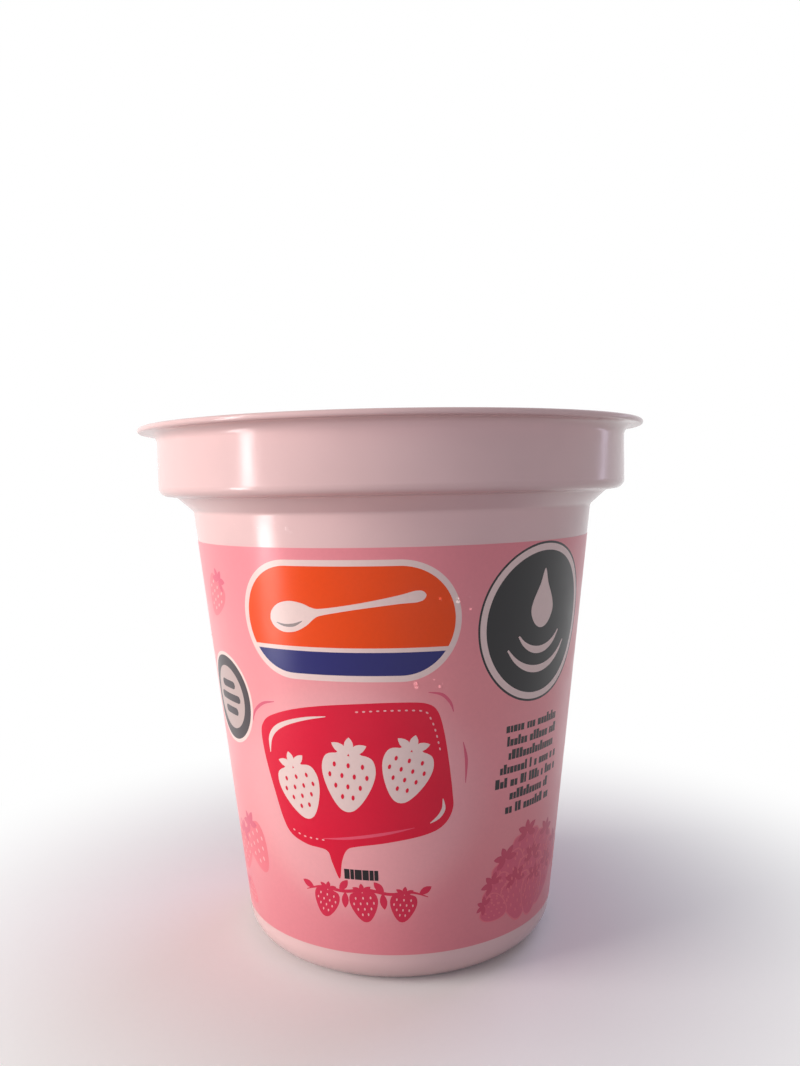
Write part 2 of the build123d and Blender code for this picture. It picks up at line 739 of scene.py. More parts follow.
def stadium(width, tall, low=-1.0, high=1.0):
    """A bar with round ends, or its slice between two shares of half its height."""
    end = tall / 2
    # The arc is longer than its height, and so it takes half as many steps again.
    steps = max(4, round((high - low) * end / STEP * 1.5))
    leans = [math.asin(low) + (math.asin(high) - math.asin(low)) * i / steps
             for i in range(steps + 1)]
    side = [Vector((width / 2 - end + end * math.cos(t), end * math.sin(t))) for t in leans]
    return side + [Vector((-spot.x, spot.y)) for spot in reversed(side)]


def leaf(length, width):
    """A pointed leaf along +Y, from the origin, a little fuller than a sine's hump."""
    side = [Vector((width / 2 * math.sin(math.pi * t) ** 0.8, length * t))
            for t in (0.0, 0.12, 0.3, 0.5, 0.7, 0.88)]
    return side + [Vector((0, length))] + [Vector((-p.x, p.y)) for p in reversed(side[1:])]


def turned(outline, degrees, by=(0, 0)):
    """The outline turned about its origin and then moved."""
    spin = Matrix.Rotation(math.radians(degrees), 2)
    return [spin @ Vector(p[:2]) + Vector(by) for p in outline]


print("a disc of 10 mm radius takes %d points" % len(disc(10)))

# %% From a place on the pot to a place on the print
def radius_at(level):
    """The cone's radius at a height, in millimetres."""
    return base_radius + taper * level


def placed(outline, angle, level, tilt=0.0):
    """An outline in millimetres, put at an angle round the pot and a height."""
    start = math.radians(angle)
    return [Vector((PRINT_RADIUS * (start + p.x / radius_at(level)), level + p.y))
            for p in turned(outline, tilt)]


def at_angles(points):
    """Points given as (angle round the pot, height, ...) on the flat print."""
    return [(PRINT_RADIUS * math.radians(angle), *rest) for angle, *rest in points]


# Angle 0 faces the viewer and grows to the right. The film is butted at the back left.
SEAM = -152.0  # degrees
SEAM_GAP = 0.8  # degrees
LABEL_FOOT = 4.7  # mm
LABEL_TOP = 59.3  # mm
print("the label is %.1f mm long at its top edge"
      % (2 * math.pi * radius_at(LABEL_TOP) * (1 - SEAM_GAP / 360)))

# %% [markdown]
# ## The artwork
#
# Inks are laid in order, and a later shape covers what lies under it. The list is the
# whole design: a vignetted ground, pale fruit, a plaque, a speech bubble with a sprig
# under it, a round sign, two seals and a panel. Signs carry plain pictures and no words.
# Rows of small blocks stand for small print. A drawing program could make all this and
# hand it over as a picture, but shapes in a list keep sharp edges and real sizes.

# %% The list of painted shapes
LONGEST = 1.0  # mm, a longer straight edge would cut through the cone as a chord
painted = []
seeds = {}


def paint(ink, outline):
    """Lays one shape on the print, its points in anticlockwise order, as the cut needs."""
    corners = [Vector(p[:2]) for p in outline]
    points = []
    for a, b in zip(corners, corners[1:] + corners[:1]):
        pieces = math.ceil((b - a).length / LONGEST)
        points.extend(a.lerp(b, i / pieces) for i in range(pieces))
    doubled = sum(a.x * b.y - b.x * a.y for a, b in zip(points, points[1:] + points[:1]))
    painted.append((ink, points if doubled > 0 else points[::-1]))


film_end = SEAM + 360 - SEAM_GAP
paint("ground", at_angles([(SEAM, LABEL_FOOT), (film_end, LABEL_FOOT),
                           (film_end, LABEL_TOP), (SEAM, LABEL_TOP)]))
print("inks laid so far:", [ink for ink, outline in painted])

# %% A strawberry
# Half of a strawberry's outline, one unit wide, from its tip to the dip under its crown.
BERRY_SIDE = [(0.1, -0.62), (0.29, -0.42), (0.45, -0.1), (0.5, 0.18), (0.42, 0.4), (0.2, 0.46)]
BERRY_CROWN = (0.0, 0.42)
CROWN_MIDDLE = (0.0, 0.47)
CROWN_LEAF_WIDTH = 0.17
CROWN_LEAVES = [(-112, 0.36), (-62, 0.36), (0, 0.3), (62, 0.36), (112, 0.36)]  # lean, length
# Each row of seeds is (height, how many, their pitch), in the same unit.
SEED_ROWS = [(0.24, 3, 0.26), (0.04, 4, 0.23), (-0.16, 3, 0.23), (-0.36, 2, 0.2)]


def paint_strawberry(angle, level, size, tilt, body, crown, seed):
    """A strawberry: its body, five leaves round its crown, and rows of seeds."""
    side = [Vector(p) for p in BERRY_SIDE]
    whole = side + [Vector(BERRY_CROWN)] + [Vector((-p.x, p.y)) for p in reversed(side)]
    outline = through([p * size for p in whole], closed=True)
    paint(body, placed(outline, angle, level, tilt))
    for lean, length in CROWN_LEAVES:
        blade = turned(leaf(length, CROWN_LEAF_WIDTH), lean, CROWN_MIDDLE)
        paint(crown, placed([p * size for p in blade], angle, level, tilt))
    for y, count, pitch in SEED_ROWS:
        for i in range(count):
            spot = Vector(((i - (count - 1) / 2) * pitch, y)) * size
            place, = placed([spot], angle, level, tilt)
            seeds.setdefault(seed, []).append((place, size, tilt))


def paint_fruits(fruits, angle, level, *inks_of_fruit):
    """Strawberries round a middle, each (mm across, mm up, size, tilt)."""
    for x, y, size, tilt in fruits:
        turn = math.degrees(x / radius_at(level))
        paint_strawberry(angle + turn, level + y, size, tilt, *inks_of_fruit)


print("seeds on a strawberry:", sum(count for y, count, pitch in SEED_ROWS))

# %% [markdown]
# ## Pale fruit
#
# The film has strawberries as a quiet pattern, tone on tone: single ones at the foot and
# the shoulders, and a heap low on the right. Chance could scatter them quickly, but an
# eye that knows the pot expects them in their places. So one drawing is put down at
# listed places, in several sizes.

# %% Pale fruit round the foot and the shoulders
# Each is (angle round the pot, height, size, tilt).
PALE_FRUIT = [
    (-59.5, 52.2, 5.4, -34), (-55, 16.6, 6.4, 30), (-67, 14.6, 5.8, -14), (-66, 8.0, 3.6, 64),
    (-95, 52.0, 5.0, 22), (-104, 11.0, 6.2, -18), (-91, 9.6, 5.0, 44), (-128, 53, 4.8, -30),
    (-134, 12, 5.6, 20), (78, 11, 5.6, -28), (130, 10.5, 4.6, 32), (140, 52, 4.6, -24),
    (196, 53, 4.6, 30), (201, 12.5, 5.2, -14), (141, 13.5, 5.4, 16),
]
for angle, level, size, tilt in PALE_FRUIT:
    paint_strawberry(angle, level, size, tilt, "rose", "deep_rose", "blush")

# A heap on the right, drawn from the back row to the front.
HEAP = [
    (46, 16.0, 6.0, 4), (56, 15.0, 5.6, -20), (38.5, 13.6, 5.8, 24), (64, 12.6, 5.4, -38),
    (49, 12.2, 6.0, -8), (34.5, 11.2, 5.0, 42), (58, 10.2, 5.6, -28), (42.5, 10.0, 5.8, 12),
    (32, 9.3, 3.9, 64), (51, 9.4, 5.2, -10),
]
HEAP_RIM = 1.07  # each berry of the heap shows this much paler rim
for angle, level, size, tilt in HEAP:
    body = through([Vector(p) * size * HEAP_RIM for p in
                    [*BERRY_SIDE, *[(-x, y) for x, y in reversed(BERRY_SIDE)]]], closed=True)
    paint("rose", placed(body, angle, level, tilt))
    paint_strawberry(angle, level, size, tilt, "deep_rose", "rose_line", "rose")
print("pale strawberries:", len(PALE_FRUIT) + len(HEAP))

# %% [markdown]
# ## The plaque
#
# A maker's sign sits at the top of such a pot: orange, with a pale rim and a navy foot.
# This one is nobody's, so it shows a spoon. Bars with round ends make the plaque, and
# slices of a bar its two colours. The spoon is one brush stroke that swells for the
# bowl. A curve with a tapered bevel would do as well, but it would have to be flattened
# before the cut.

# %% The plaque with a spoon
SPOON = [(-10.6, 0, 0.05), (-10.2, 0, 1.0), (-8.9, 0, 1.85), (-7, 0, 2.0), (-5.2, 0, 1.45),
         (-3.9, 0, 0.7), (-2.6, 0, 0.42), (2, 0, 0.36), (7, 0, 0.52), (9.6, 0, 0.74),
         (10.5, 0, 0.5), (10.8, 0, 0.05)]
SPOON_SHADE = [(-9.7, -0.5, 0.05), (-8.6, -1.0, 0.16), (-7.1, -1.15, 0.2), (-5.7, -0.8, 0.05)]
SPOON_RISE = 1.6  # mm above the plaque's middle
SPOON_TILT = 9  # degrees
PLAQUE_LEVEL = 50.0  # mm
PLAQUE_RIM = (30.4, 15.6)  # mm, width and height
PLAQUE_FACE = (28.8, 14.0)
ORANGE_FOOT = -0.49  # shares of half the face's height, below its middle
NAVY_TOP = -0.57


def paint_plaque(angle, level):
    """An orange plaque with a white rim, a straight navy foot and a white spoon."""
    paint("white", placed(stadium(*PLAQUE_RIM), angle, level))
    paint("orange", placed(stadium(*PLAQUE_FACE, low=ORANGE_FOOT), angle, level))
    paint("navy", placed(stadium(*PLAQUE_FACE, high=NAVY_TOP), angle, level))
    for ink, line in (("white", SPOON), ("grey", SPOON_SHADE)):
        paint(ink, placed(stroke(line), angle, level + SPOON_RISE, SPOON_TILT))


for front in FRONTS:
    paint_plaque(front, PLAQUE_LEVEL)
print("plaques:", len(FRONTS))

# %% [markdown]
# ## The speech bubble
#
# The main sign is a hand-drawn red bubble with soft corners and a tail. Thin strokes
# round it and in it make it look glossy and lively. Such an outline follows no rule,
# and so it is a few points in millimetres with a smooth line through them. Three white
# strawberries fill it.

# %% The speech bubble
BUBBLE = [
    (-13.6, 4.5), (-12.9, 6.1), (-11.4, 7.2), (-7.7, 8.5), (-3.1, 9.4), (2.6, 9.9), (7.3, 10),
    (9.9, 9.7), (11.2, 8.6), (12, 6), (12.7, 2), (13.3, -2.4), (13.4, -4.7), (12.3, -6.7),
    (9.9, -7.9), (4.6, -8.9), (0.2, -9.6), (-1.2, -10.2), (-2.0, -11.9), (-2.5, -14.3),
    (-3.5, -12.1), (-4.2, -10.5), (-7.2, -10.1), (-9.8, -9.1), (-11.1, -7.2), (-12.2, -3.5),
    (-13.3, 1),
]
BUBBLE_SHINE = [(-12.2, 2.0, 0.05), (-11.9, 4.0, 0.3), (-10.7, 5.5, 0.36), (-8.6, 6.6, 0.3),
                (-5.6, 7.5, 0.2), (-2.9, 7.95, 0.05)]
BUBBLE_LIP = [(-4.6, -8.9, 0.03), (-1, -8.5, 0.18), (4, -7.7, 0.2), (8.2, -6.9, 0.03)]
BUBBLE_GLINT = [(12.0, -3.2, 0.05), (12.1, -4.6, 0.26), (11.4, -5.7, 0.24), (10.3, -6.4, 0.05)]
BUBBLE_MARKS = [
    [(-15.2, 5.8, 0.05), (-14.4, 7.4, 0.2), (-12.6, 8.7, 0.2), (-10.5, 9.2, 0.05)],
    [(10.0, 11.2, 0.05), (11.7, 10.8, 0.2), (12.8, 9.6, 0.18), (13.2, 8.4, 0.05)],
    [(14.6, 4.2, 0.05), (15.1, 1.8, 0.22), (15.1, -1.4, 0.05)],
]
BUBBLE_FRUIT = [(-7.6, -2.3, 6.6, 16), (-0.4, -0.2, 7.2, -4), (7.2, 0.7, 6.6, -14)]


def paint_bubble(angle, level):
    """A red speech bubble with a shine, a glint and three white strawberries."""
    paint("red", placed(through(BUBBLE, closed=True), angle, level))
    paint("white", placed(stroke(BUBBLE_SHINE), angle, level))
    paint("white", placed(stroke(BUBBLE_GLINT), angle, level))
    paint("light_red", placed(stroke(BUBBLE_LIP), angle, level))
    for line in BUBBLE_MARKS:
        paint("deep_rose", placed(stroke(line), angle, level))
    paint_fruits(BUBBLE_FRUIT, angle, level, "white", "white", "red")


for front in FRONTS:
    paint_bubble(front, BUBBLE_LEVEL)
print("points round a bubble:", len(through(BUBBLE, closed=True)))

# %% [markdown]
# ## The sprig
#
# Under the bubble's tail, red lettering would name the flavour. A picture says it too:
# a stem with leaves and three small berries, in one ink. The stroke, the leaf and the
# strawberry are there already, so the sprig is only a list of places.

# %% The sprig under the bubble
SPRIG_LEVEL = 12.6  # mm
SPRIG_SHIFT = 2.2  # degrees to the right of the bubble's middle
SPRIG_STEM = [(-8.4, 0.3, 0.05), (-6.0, 1.1, 0.18), (-2.8, 0.9, 0.24), (0.4, 1.3, 0.24),
              (3.4, 0.8, 0.22), (6.2, 1.0, 0.18), (8.4, 0.2, 0.05)]
SPRIG_FRUIT = [(-5.4, -0.8, 3.7, -10), (-0.1, -0.8, 3.9, 6), (5.1, -0.9, 3.6, -6)]
SPRIG_LEAVES = [(-7.2, 0.7, 62, 1.9), (-3.4, 0.95, -38, 2.0), (-2.6, 0.8, 176, 2.3),
                (2.6, 0.95, 40, 2.0), (2.4, 0.9, -174, 2.3), (7.2, 0.7, -60, 1.9)]
SPRIG_LEAF_WIDTH = 1.0  # mm


def paint_sprig(angle, level):
    """A stem with leaves and three small strawberries, all in one red."""
    paint("script_red", placed(stroke(SPRIG_STEM), angle, level))
    for x, y, lean, length in SPRIG_LEAVES:
        blade = turned(leaf(length, SPRIG_LEAF_WIDTH), lean, (x, y))
        paint("script_red", placed(blade, angle, level))
    paint_fruits(SPRIG_FRUIT, angle, level, "script_red", "script_red", "blush")


for front in FRONTS:
    paint_sprig(front + SPRIG_SHIFT, SPRIG_LEVEL)
print("shapes painted:", len(painted))

# %% [markdown]
# ## Signs, seals and a panel
#
# At the sides a pot carries its warnings and marks, and a list of what it holds. Here
# they are a dark round sign, two small seals and a white panel with thin rules. Each
# could be one outline drawn by hand. Discs and bars laid one over the other are easier
# to change, because a radius or a width is all that they need.

# %% The dark round sign and the seals
SIGN_DISCS = [("dark", 10.8), ("white", 10.5), ("dark", 9.6)]  # each ink's radius in mm
SEAL_DISCS = [("white", 6.5), ("badge", 6.0), ("stone", 4.5)]
SEAL_BARS = [(1.9, 4.6), (0.0, 6.8), (-1.9, 4.6)]  # mm, how high and how wide
SEAL_BAR_HEIGHT = 1.1  # mm
DROP = [(0, 4.6), (0.8, 2.6), (2.0, 0.4), (2.3, -1.2), (1.4, -2.8), (0, -3.4),
        (-1.4, -2.8), (-2.3, -1.2), (-2.0, 0.4), (-0.8, 2.6)]
DROP_RISE = 2.6  # mm above the sign's middle
RIPPLES = [(5.2, 1.4), (7.4, 1.0)]  # mm, the radius of each and how high its centre is
RIPPLE_ENDS = (215, 325)  # degrees
RIPPLE_HALF_WIDTH = 0.5  # mm
ARC_PIECES = 8


def arc(radius, start, end, half_width):
    """A stroke along part of a circle, thinning to ends that keep a little width."""
    points = []
    for i in range(ARC_PIECES + 1):
        lean = math.radians(start + (end - start) * i / ARC_PIECES)
        swell = math.sin(math.pi * (0.08 + 0.84 * i / ARC_PIECES))
        points.append((radius * math.cos(lean), radius * math.sin(lean), half_width * swell))
    return stroke(points)


def paint_sign(angle, level):
    """A near-black disc, pale rim and thin dark edge, with a drop over two ripples."""
    for ink, radius in SIGN_DISCS:
        paint(ink, placed(disc(radius), angle, level))
    paint("white", placed(through(DROP, closed=True), angle, level + DROP_RISE))
    for radius, rise in RIPPLES:
        ripple = turned(arc(radius, *RIPPLE_ENDS, RIPPLE_HALF_WIDTH), 0, (0, rise))
        paint("white", placed(ripple, angle, level))


def paint_seal(angle, level):
    """A small seal: pale rim, dark ring, and three plain bars on a pale middle."""
    for ink, radius in SEAL_DISCS:
        paint(ink, placed(disc(radius), angle, level))
    for y, width in SEAL_BARS:
        bar = turned(stadium(width, SEAL_BAR_HEIGHT), 0, (0, y))
        paint("badge", placed(bar, angle, level))


# A place is (angle round the pot, height of the middle).
SIGN_PLACE = (44.0, 48.4)
SEAL_PLACES = [(-60.0, 37.6), (-101.0, 34.0)]
paint_sign(*SIGN_PLACE)
for place in SEAL_PLACES:
    paint_seal(*place)
print("signs and seals:", 1 + len(SEAL_PLACES))

# %% The panel at the side
PANEL_PLACE = (100.0, 33.0)
PANEL_WIDTH = 23.0  # mm
PANEL_HEIGHT = 40.0  # mm
PANEL_CORNER = 1.6  # mm, the radius of its corners
PANEL_ROWS = 9
RULE_LENGTH = PANEL_WIDTH - 3.0
RULE_WIDTH = 0.16  # mm


def paint_panel(angle, level):
    """A white panel with round corners and thin rules, as for a table of contents."""
    edge = []
    for turn, x, y in ((0, 1, 1), (90, -1, 1), (180, -1, -1), (270, 1, -1)):
        for lean in (math.radians(turn + 15 * i) for i in range(7)):  # a quarter turn
            edge.append(Vector((
                x * (PANEL_WIDTH / 2 - PANEL_CORNER) + PANEL_CORNER * math.cos(lean),
                y * (PANEL_HEIGHT / 2 - PANEL_CORNER) + PANEL_CORNER * math.sin(lean),
            )))
    paint("white", placed(through(edge, closed=True), angle, level))
    for row in range(1, PANEL_ROWS):
        drop = PANEL_HEIGHT / 2 - row * PANEL_HEIGHT / PANEL_ROWS
        rule = turned(stadium(RULE_LENGTH, RULE_WIDTH), 0, (0, drop))
        paint("stone", placed(rule, angle, level))


paint_panel(*PANEL_PLACE)
print("shapes painted:", len(painted), "seeds:", sum(len(s) for s in seeds.values()))

# %% [markdown]
# ## Cutting the inks apart
#
# Shapes that lie on top of each other would flicker and cost faces that nobody sees.
# An inlay has neither fault: the sheet is cut along every outline, and each piece of
# it goes to the ink that is on top there. A constrained Delaunay cut does this, and it
# also says which shapes cover each triangle. A grid of loose points joins the cut, so
# that no triangle is too wide to follow the cone.

# %% The cut
GRID = 1.3  # mm, the widest a triangle may be before its chord sinks into the wall
NEAR = 1e-5  # mm, points nearer than this are one to the cut
INSIDE_ONLY = 1  # the cut keeps only triangles that lie inside some outline


def cut_apart(shapes):
    """Cuts the sheet and returns its points and, for each ink, its triangles."""
    points = []
    faces = []
    for ink, outline in shapes:
        faces.append(list(range(len(points), len(points) + len(outline))))
        points.extend(outline)
    foot, top = LABEL_FOOT + GRID / 2, LABEL_TOP - GRID / 2
    left, right = (p[0] for p in at_angles([(SEAM, 0), (film_end, 0)]))
    across, up = round((right - left) / GRID), round((top - foot) / GRID)
    for row in range(up + 1):
        shift = 0.25 if row % 2 else 0.75
        points.extend(Vector((left + (right - left) * (i + shift) / across,
                              foot + (top - foot) * row / up)) for i in range(across))
    corners, _, triangles, _, _, covers = delaunay_2d_cdt(
        points, [], faces, INSIDE_ONLY, NEAR, True)
    parts = {}
    for triangle, over in zip(triangles, covers):
        if over:  # a sliver just outside the ground's edge has none
            parts.setdefault(shapes[max(over)][0], []).append(triangle)
    return corners, parts


sheet_points, ink_parts = cut_apart(painted)
for ink, triangles in sorted(ink_parts.items()):
    print("%-10s %6d triangles" % (ink, len(triangles)))

# %% [markdown]
# ## Rolling the inks on
#
# The real film is one sheet with all its inks. One mesh could hold them as well, with
# a material for each face, but inks that are kept apart can be found and changed by
# name. So every ink is a flat mesh of its own, and one short tree rolls each on. The
# ink is an input of the tree, as the sizes are.

# %% One inlay for each ink
print_sizes = {**rolling_sizes, "Ink": inks["ground"]}


def inlay_tree():
    """Rolls a flat mesh on and gives it an ink."""
    tree, sizes = geometry_tree("rolled_inlay", print_sizes)
    end_rolled(tree, sizes, sizes["Geometry"])
    return tree


def flat_part(name, points, triangles):
    """A flat mesh of some of the sheet's triangles, with only the points they need."""
    used = sorted({i for triangle in triangles for i in triangle})
    place = {old: new for new, old in enumerate(used)}
    return drawn_mesh(name, [points[i] for i in used],
                      faces=[[place[i] for i in triangle] for triangle in triangles])


inlay = inlay_tree()
print_pieces = []
for ink, triangles in sorted(ink_parts.items()):
    flat = flat_part("flat_" + ink, sheet_points, triangles)
    print_pieces.append(run_tree("print_" + ink, flat, inlay, {"Ink": inks[ink]}))
print("inlays:", len(print_pieces), "faces:", sum(len(p.data.polygons) for p in print_pieces))

# %% [markdown]
# ## What repeats in the print
#
# Stitches follow a path, seeds sit in rows, and small print runs in lines. They could be
# painted one by one, as the large shapes are, but there are hundreds, and a rule keeps
# their pitch even. Geometry Nodes lay them out flat, and the rolling tree puts them on.
# They stand a hair above the film, as spot varnish does.

# %% Stitches
VARNISH = 0.012  # mm, how thick a raised mark is
MARK_GAP = 0.004  # mm, keeps its back off the film
DOT_SIDES = 10
raised_sizes = {
    **print_sizes,
    "Lift": (CLEARANCE + FILM + MARK_GAP) * MM,
    "Thickness": VARNISH * MM,
}


def stitch_tree():
    """Short dashes at an even pitch along a path."""
    tree, sizes = geometry_tree("stitches", {
        **raised_sizes,
        "Pitch": 0.82 * MM,
        "Length": 0.4 * MM,
        "Width": 0.22 * MM,
    })
    spaced = add(tree, "GeometryNodeResampleCurve", {
        "Curve": add(tree, "GeometryNodeMeshToCurve", (sizes["Geometry"],)),
        "Length": sizes["Pitch"],
    }, mode="LENGTH")
    dashes = add(tree, "GeometryNodeInstanceOnPoints", {
        "Points": spaced,
        "Instance": add(tree, "GeometryNodeMeshCircle", (DOT_SIDES, 0.5), fill_type="NGON"),
        "Rotation": add(tree, "FunctionNodeAlignRotationToVector", {
            "Vector": add(tree, "GeometryNodeInputTangent"),
        }, axis="X"),
        "Scale": add(tree, "ShaderNodeCombineXYZ", (sizes["Length"], sizes["Width"], 1.0)),
    })
    end_rolled(tree, sizes, dashes)
    return tree


STITCH_PATHS = [
    [(1.2, 8.75), (5, 8.95), (9.2, 8.8), (10.2, 7.9), (10.9, 6.1), (11.5, 3.6)],
    [(-9.3, -8.4), (-7.6, -9.0), (-4.6, -9.1)],
]


def paths_mesh(name, lines):
    """One mesh of several open lines."""
    points = []
    edges = []
    for line in lines:
        edges.extend((len(points) + i, len(points) + i + 1) for i in range(len(line) - 1))
        points.extend(line)
    return drawn_mesh(name, points, edges)


stitch_lines = [placed(through(path), front, BUBBLE_LEVEL) for front in FRONTS
                for path in STITCH_PATHS]
stitches = run_tree("print_stitches", paths_mesh("stitch_path", stitch_lines), stitch_tree(),
                    {"Ink": inks["blush"]})
print_pieces.append(stitches)
print("stitches: %d faces" % len(stitches.data.polygons))

# %% Seeds
def seed_tree():
    """A small drop on each point, sized and turned by the point's attributes."""
    tree, sizes = geometry_tree("seeds", {
        **raised_sizes,
        "Length": 0.1,
        "Slimness": 0.6,
    })
    berry, tilt = (add(tree, "GeometryNodeInputNamedAttribute", (name,), data_type="FLOAT")
                   for name in ("size", "tilt"))
    length = add(tree, "ShaderNodeMath", (berry, sizes["Length"]), operation="MULTIPLY")
    width = add(tree, "ShaderNodeMath", (length, sizes["Slimness"]), operation="MULTIPLY")
    drops = add(tree, "GeometryNodeInstanceOnPoints", {
        "Points": sizes["Geometry"],
        "Instance": add(tree, "GeometryNodeMeshCircle", (DOT_SIDES, 0.5), fill_type="NGON"),
        "Rotation": add(tree, "ShaderNodeCombineXYZ", (0.0, 0.0, tilt)),
        "Scale": add(tree, "ShaderNodeCombineXYZ", (width, length, 1.0)),
    })
    end_rolled(tree, sizes, drops)
    return tree


seeding = seed_tree()
for ink, spots in sorted(seeds.items()):
    cloud = drawn_mesh("seed_places", [place for place, size, tilt in spots])
    keep_values(cloud, "size", [size * MM for place, size, tilt in spots])
    keep_values(cloud, "tilt", [math.radians(tilt) for place, size, tilt in spots])
    print_pieces.append(run_tree("print_seeds_" + ink, cloud, seeding, {"Ink": inks[ink]}))
    print("seeds in %s: %d" % (ink, len(spots)))

# %% [markdown]
# ## Small print
#
# From arm's length small print is rows of dark flecks grouped into words. A font would
# lay them quickly, but then there would be something to read. So blocks are laid here,
# and no letters. Accumulate Field adds up the widths along a row, which is how a line
# of type is set, and every row ends where chance says.

# %% Blocks and their rows
ROW_FILL = (0.72, 1.0)  # shares of a row that chance fills


def blocks_in_rows(tree, sizes):
    """A point for each block, and the number of its row. Rows lose their last few."""
    per_row = sizes["Blocks in a row"]
    count = add(tree, "ShaderNodeMath", (sizes["Rows"], per_row), operation="MULTIPLY")
    start = add(tree, "GeometryNodeSampleIndex", (
        sizes["Geometry"],
        add(tree, "GeometryNodeInputPosition"),
    ), data_type="FLOAT_VECTOR")
    share = add(tree, "ShaderNodeMath", (
        add(tree, "GeometryNodeInputIndex"),
        per_row,
    ), operation="DIVIDE")
    row = add(tree, "ShaderNodeMath", (share,), operation="FLOOR")
    numbered = add(tree, "GeometryNodeStoreNamedAttribute", {
        "Geometry": add(tree, "GeometryNodePoints", (count, start)),
        "Name": "row",
        "Value": row,
    }, data_type="FLOAT", domain="POINT")
    row_end = add(tree, "FunctionNodeRandomValue", (*ROW_FILL, row, sizes["Seed"]),
                  data_type="FLOAT")
    past_end = add(tree, "ShaderNodeMath", (
        add(tree, "ShaderNodeMath", (share,), operation="FRACT"),
        row_end,
    ), operation="GREATER_THAN")
    kept = add(tree, "GeometryNodeDeleteGeometry", (numbered, past_end), domain="POINT")
    return kept, add(tree, "GeometryNodeInputNamedAttribute", ("row",), data_type="FLOAT")


print("a row is filled to between %.0f and %.0f percent" % tuple(100 * s for s in ROW_FILL))

# %% Blocks set in words
WIDTHS = (0.7, 1.35)  # shares of a block's width that chance picks between
TALL = 0.3  # how often a block is a tall one
WORD_END = 0.2  # how often a block is the last of its word


def set_in_words(tree, sizes, blocks, row):
    """Moves each block to its place. Returns the points, their widths and their heights."""
    draws = []
    for salt, (low, high) in enumerate((WIDTHS, (0.0, 1.0), (0.0, 1.0)), start=1):
        seed = add(tree, "ShaderNodeMath", (sizes["Seed"], salt), operation="ADD")
        index = add(tree, "GeometryNodeInputIndex")
        draws.append(add(tree, "FunctionNodeRandomValue", (low, high, index, seed),
                         data_type="FLOAT"))
    width = add(tree, "ShaderNodeMath", (draws[0], sizes["Block width"]), operation="MULTIPLY")
    tall = add(tree, "ShaderNodeMath", (draws[1], TALL), operation="LESS_THAN")
    share = add(tree, "ShaderNodeMapRange", {
        "Value": tall,
        "To Min": sizes["Low share"],
        "To Max": 1.0,
    })
    height = add(tree, "ShaderNodeMath", (share, sizes["Block height"]), operation="MULTIPLY")
    last = add(tree, "ShaderNodeMath", (draws[2], WORD_END), operation="LESS_THAN")
    gap = add(tree, "ShaderNodeMath", (last, sizes["Word gap"], sizes["Gap"]),
              operation="MULTIPLY_ADD")
    step = add(tree, "ShaderNodeMath", (width, gap), operation="ADD")
    run = add(tree, "GeometryNodeAccumulateField", (step, row), data_type="FLOAT",
              domain="POINT").outputs
    # Align is 0 for rows that start in line, and 0.5 for rows about a middle line.
    back = add(tree, "ShaderNodeMath", (run["Total"], sizes["Align"]), operation="MULTIPLY")
    left = add(tree, "ShaderNodeMath", (run["Trailing"], back), operation="SUBTRACT")
    x = add(tree, "ShaderNodeMath", (width, 0.5, left), operation="MULTIPLY_ADD")
    fall = add(tree, "ShaderNodeMath", (row, sizes["Row pitch"]), operation="MULTIPLY")
    half = add(tree, "ShaderNodeMath", (height, 0.5), operation="MULTIPLY")
    y = add(tree, "ShaderNodeMath", (half, fall), operation="SUBTRACT")
    laid = add(tree, "GeometryNodeSetPosition", {
        "Geometry": blocks,
        "Offset": add(tree, "ShaderNodeCombineXYZ", (x, y)),
    })
    return laid, width, height


print("a word is %.0f blocks long on average" % (1 / WORD_END))

# %% Rows of small print
def small_print_tree():
    """Rows of small blocks grouped like words, with ragged ends."""
    tree, sizes = geometry_tree("small_print", {
        **raised_sizes,
        "Rows": 7,
        "Blocks in a row": 16,
        "Row pitch": 1.9 * MM,
        "Block width": 0.52 * MM,
        "Block height": 1.35 * MM,
        "Low share": 0.68,
        "Gap": 0.12 * MM,
        "Word gap": 0.5 * MM,
        "Align": 0.5,
        "Seed": 3,
    })
    laid, width, height = set_in_words(tree, sizes, *blocks_in_rows(tree, sizes))
    printed = add(tree, "GeometryNodeInstanceOnPoints", {
        "Points": laid,
        "Instance": add(tree, "GeometryNodeMeshGrid", (1.0, 1.0, 2, 2)),
        "Scale": add(tree, "ShaderNodeCombineXYZ", (width, height, 1.0)),
    })
    end_rolled(tree, sizes, printed)
    return tree


small_print = small_print_tree()


def print_rows(name, angle, level, ink, **changes):
    """A block of small print whose first row stands at a height."""
    start = drawn_mesh("row_start", at_angles([(angle, level)]))
    labels = {word.replace("_", " ").capitalize(): value for word, value in changes.items()}
    piece = run_tree(name, start, small_print, {"Ink": inks[ink], **labels})
    print("%s: %d faces" % (name, len(piece.data.polygons)))
    return piece


print_pieces.append(print_rows("small_print_right", 45.5, 33.9, "dark"))
for number, front in enumerate(FRONTS):
    print_pieces.append(print_rows("small_print_flavour_%d" % number, front + 1.6, 15.3, "dark",
                                   rows=1, blocks_in_a_row=7, seed=8, block_width=0.74 * MM,
                                   block_height=1.4 * MM, low_share=1.0, word_gap=0.0))
print_pieces += [
    print_rows("small_print_panel", 80.5, 50.6, "grey", rows=PANEL_ROWS, blocks_in_a_row=22,
               row_pitch=PANEL_HEIGHT / PANEL_ROWS * MM, align=0.0, seed=21,
               block_height=1.3 * MM),
    print_rows("small_print_back", -142.0, 44.0, "dark", rows=8, blocks_in_a_row=16, align=0.0,
               seed=5, row_pitch=2.18 * MM),
]

